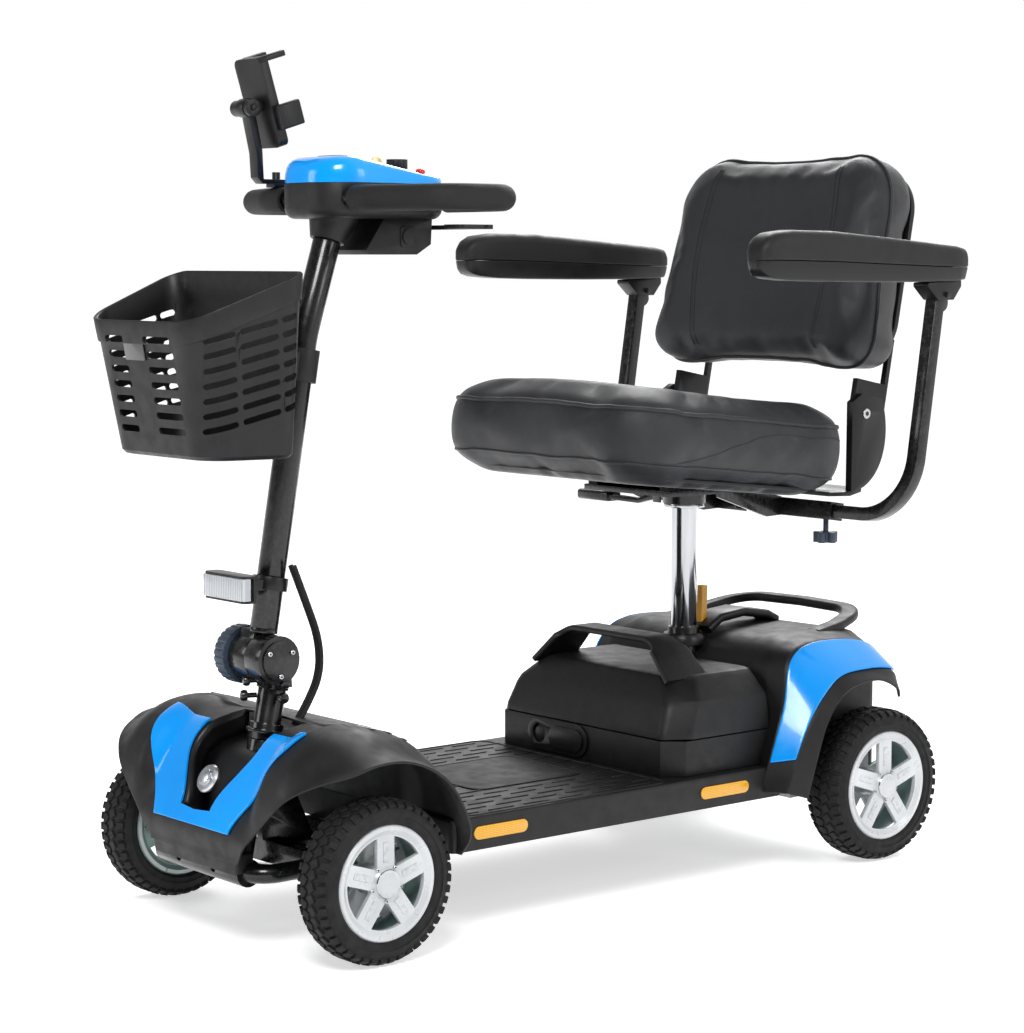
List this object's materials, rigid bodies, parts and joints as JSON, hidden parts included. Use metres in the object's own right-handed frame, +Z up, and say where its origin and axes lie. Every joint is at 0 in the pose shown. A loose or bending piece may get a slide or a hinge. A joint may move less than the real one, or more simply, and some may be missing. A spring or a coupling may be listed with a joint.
{
  "type": "four-wheel electric mobility scooter",
  "caption": "Electric travel scooter with a tilting tiller, basket, phone holder, loop handlebar, battery box and a swivel armchair seat with folding back.",
  "frame": {"origin": "on the floor, in the middle of the overall length and width", "axes": "+Z up, -Y the way it drives, +X the rider's left"},
  "size_m": [0.7, 1.2585, 1.1847],
  "materials": {
    "black_plastic": "fine textured, satin",
    "blue_plastic": "gloss",
    "black_paint": "gloss powder coat",
    "steel": "satin",
    "chrome_tube": "polished",
    "tyre_rubber": "matt",
    "rim_silver": "satin silver paint",
    "leatherette": "grained",
    "foam_rubber": "matt foam",
    "amber_plastic": "prismatic gloss",
    "clear_lens": "clear ribbed",
    "grey_plastic": "satin",
    "red_plastic": "gloss",
    "cell_case": "matt"
  },
  "bodies": {
    "chassis": {"chassis_frame": "black_paint", "deck_tray": "black_plastic", "front_fairing": "black_plastic", "front_trim": "blue_plastic", "front_bumper": "black_paint", "rear_body": "black_plastic", "rear_trim": "blue_plastic", "side_reflectors": "amber_plastic", "drive_unit": "steel"},
    "freewheel": {"freewheel_lever": "amber_plastic"},
    "battery_box": {"battery_base": "black_plastic", "battery_lid": "black_plastic", "battery_cells": "cell_case", "charge_socket": "black_plastic"},
    "charge_flap": {"port_cover": "black_plastic"},
    "stem": {"steering_stem": "black_paint", "stem_knuckle": "black_paint"},
    "tilt_knob": {"tilt_dial": "grey_plastic"},
    "tiller": {"tiller_tube": "black_paint", "tiller_knuckle": "black_paint", "headlight_housing": "black_plastic", "headlight_lens": "clear_lens", "console_base": "black_plastic", "console_cover": "blue_plastic", "handlebar": "black_paint", "handlebar_grips": "foam_rubber", "port_box": "black_plastic", "basket_bracket": "black_plastic", "phone_arm": "black_plastic", "tiller_cables": "foam_rubber"},
    "speed_knob": {"speed_dial": "grey_plastic"},
    "horn": {"horn_button": "red_plastic"},
    "throttle": {"throttle_lever": "black_plastic"},
    "basket_body": {"basket": "black_plastic"},
    "cradle": {"phone_cradle": "black_plastic"},
    "jaw": {"phone_jaw": "black_plastic"},
    "left_knuckle": {"knuckle_left": "black_paint"},
    "right_knuckle": {"knuckle_right": "black_paint"},
    "tie": {"tie_rod": "black_paint"},
    "front_left_wheel": {"front_tyre_left": "tyre_rubber", "front_rim_left": "rim_silver"},
    "front_right_wheel": {"front_tyre_right": "tyre_rubber", "front_rim_right": "rim_silver"},
    "rear_left_wheel": {"rear_tyre_left": "tyre_rubber", "rear_rim_left": "rim_silver"},
    "rear_right_wheel": {"rear_tyre_right": "tyre_rubber", "rear_rim_right": "rim_silver"},
    "post": {"seat_post": "chrome_tube"},
    "seat": {"seat_frame": "black_paint", "seat_shell": "black_plastic", "seat_cushion": "leatherette"},
    "left_knob": {"star_knob_left": "grey_plastic"},
    "right_knob": {"star_knob_right": "grey_plastic"},
    "swivel_handle": {"swivel_lever": "black_plastic"},
    "back": {"backrest_shell": "black_plastic", "backrest_cushion": "leatherette"},
    "left_arm": {"arm_bar_left": "black_paint"},
    "right_arm": {"arm_bar_right": "black_paint"},
    "left_pad": {"arm_pad_left": "black_plastic"},
    "right_pad": {"arm_pad_right": "black_plastic"}
  },
  "joints": [
    {"name": "steer", "type": "hinge", "parent": "chassis", "child": "stem", "pos_m": [0, -0.431, 0.269], "axis": [0, 0.1994, 0.9799], "range_deg": [-35, 35]},
    {"name": "knuckle_left_turn", "type": "hinge", "parent": "chassis", "child": "left_knuckle", "pos_m": [0.19, -0.427, 0.1085], "axis": [0, 0, 1], "range_deg": [-35, 35]},
    {"name": "knuckle_right_turn", "type": "hinge", "parent": "chassis", "child": "right_knuckle", "pos_m": [-0.19, -0.427, 0.1085], "axis": [0, 0, 1], "range_deg": [-35, 35]},
    {"name": "tie_rod_swing", "type": "hinge", "parent": "left_knuckle", "child": "tie", "pos_m": [0.19, -0.372, 0.07], "axis": [0, 0, 1], "range_deg": [-35, 35]},
    {"name": "tiller_tilt", "type": "hinge", "parent": "stem", "child": "tiller", "pos_m": [0, -0.433, 0.369], "axis": [-1, 0, 0], "range_deg": [-10, 20], "deforming": ["tiller_cables"]},
    {"name": "tilt_dial_turn", "type": "hinge", "parent": "stem", "child": "tilt_knob", "pos_m": [-0.05, -0.433, 0.369], "axis": [-1, 0, 0], "range_deg": [0, 90]},
    {"name": "front_left_spin", "type": "hinge", "parent": "left_knuckle", "child": "front_left_wheel", "pos_m": [0.242, -0.427, 0.1085], "axis": [1, 0, 0], "continuous": true},
    {"name": "front_right_spin", "type": "hinge", "parent": "right_knuckle", "child": "front_right_wheel", "pos_m": [-0.242, -0.427, 0.1085], "axis": [1, 0, 0], "continuous": true},
    {"name": "rear_left_spin", "type": "hinge", "parent": "chassis", "child": "rear_left_wheel", "pos_m": [0.23, 0.513, 0.1145], "axis": [1, 0, 0], "continuous": true},
    {"name": "rear_right_spin", "type": "hinge", "parent": "chassis", "child": "rear_right_wheel", "pos_m": [-0.23, 0.513, 0.1145], "axis": [1, 0, 0], "continuous": true},
    {"name": "seat_height", "type": "slide", "parent": "chassis", "child": "post", "axis": [0, 0, 1], "range_m": [0, 0.075]},
    {"name": "seat_swivel", "type": "hinge", "parent": "post", "child": "seat", "pos_m": [0, 0.337, 0.54], "axis": [0, 0, 1], "continuous": true},
    {"name": "swivel_lever_lift", "type": "hinge", "parent": "seat", "child": "swivel_handle", "pos_m": [-0.048, 0.337, 0.543], "axis": [0, 1, 0], "range_deg": [0, 6], "stiffness_Nm_per_rad": 4, "springref_deg": -6.88},
    {"name": "backrest_fold", "type": "hinge", "parent": "seat", "child": "back", "pos_m": [0, 0.508, 0.672], "axis": [1, 0, 0], "range_deg": [0, 64]},
    {"name": "arm_left_slide", "type": "slide", "parent": "seat", "child": "left_arm", "axis": [1, 0, 0], "range_m": [0, 0.06]},
    {"name": "arm_right_slide", "type": "slide", "parent": "seat", "child": "right_arm", "axis": [-1, 0, 0], "range_m": [0, 0.06]},
    {"name": "star_knob_left_turn", "type": "hinge", "parent": "seat", "child": "left_knob", "pos_m": [0.158, 0.482, 0.49], "axis": [0, 0, 1], "continuous": true},
    {"name": "star_knob_right_turn", "type": "hinge", "parent": "seat", "child": "right_knob", "pos_m": [-0.158, 0.482, 0.49], "axis": [0, 0, 1], "continuous": true},
    {"name": "arm_pad_left_flip", "type": "hinge", "parent": "left_arm", "child": "left_pad", "pos_m": [0.325, 0.54, 0.85], "axis": [-1, 0, 0], "range_deg": [0, 95]},
    {"name": "arm_pad_right_flip", "type": "hinge", "parent": "right_arm", "child": "right_pad", "pos_m": [-0.325, 0.54, 0.85], "axis": [-1, 0, 0], "range_deg": [0, 95]},
    {"name": "battery_lift", "type": "slide", "parent": "chassis", "child": "battery_box", "axis": [0, 0, 1], "range_m": [0, 0.15]},
    {"name": "port_cover_swing", "type": "hinge", "parent": "battery_box", "child": "charge_flap", "pos_m": [0, 0.122, 0.19], "axis": [0, 1, 0], "range_deg": [0, 110]},
    {"name": "freewheel_lever_tilt", "type": "hinge", "parent": "chassis", "child": "freewheel", "pos_m": [0, 0.373, 0.318], "axis": [-1, 0, 0], "range_deg": [0, 15]},
    {"name": "speed_dial_turn", "type": "hinge", "parent": "tiller", "child": "speed_knob", "pos_m": [0, -0.206, 1.03], "axis": [0, 0, 1], "range_deg": [-135, 135]},
    {"name": "horn_press", "type": "slide", "parent": "tiller", "child": "horn", "axis": [0, 0, -1], "range_m": [0, 0.002], "stiffness_N_per_m": 400},
    {"name": "throttle_swing", "type": "hinge", "parent": "tiller", "child": "throttle", "pos_m": [0, -0.162, 0.946], "axis": [0, 0, 1], "range_deg": [-12, 12], "stiffness_Nm_per_rad": 1},
    {"name": "basket_lift", "type": "slide", "parent": "tiller", "child": "basket_body", "axis": [0, 0, 1], "range_m": [0, 0.04]},
    {"name": "phone_cradle_tilt", "type": "hinge", "parent": "tiller", "child": "cradle", "pos_m": [-0.103, -0.384, 1.106], "axis": [1, 0, 0], "range_deg": [-8, 30]},
    {"name": "phone_jaw_slide", "type": "slide", "parent": "cradle", "child": "jaw", "axis": [1, 0, 0], "range_m": [0, 0.018]}
  ],
  "couplings": [
    {"joint": "knuckle_left_turn", "follows": "steer", "ratio": 1},
    {"joint": "knuckle_right_turn", "follows": "steer", "ratio": 1},
    {"joint": "tie_rod_swing", "follows": "steer", "ratio": -1}
  ]
}
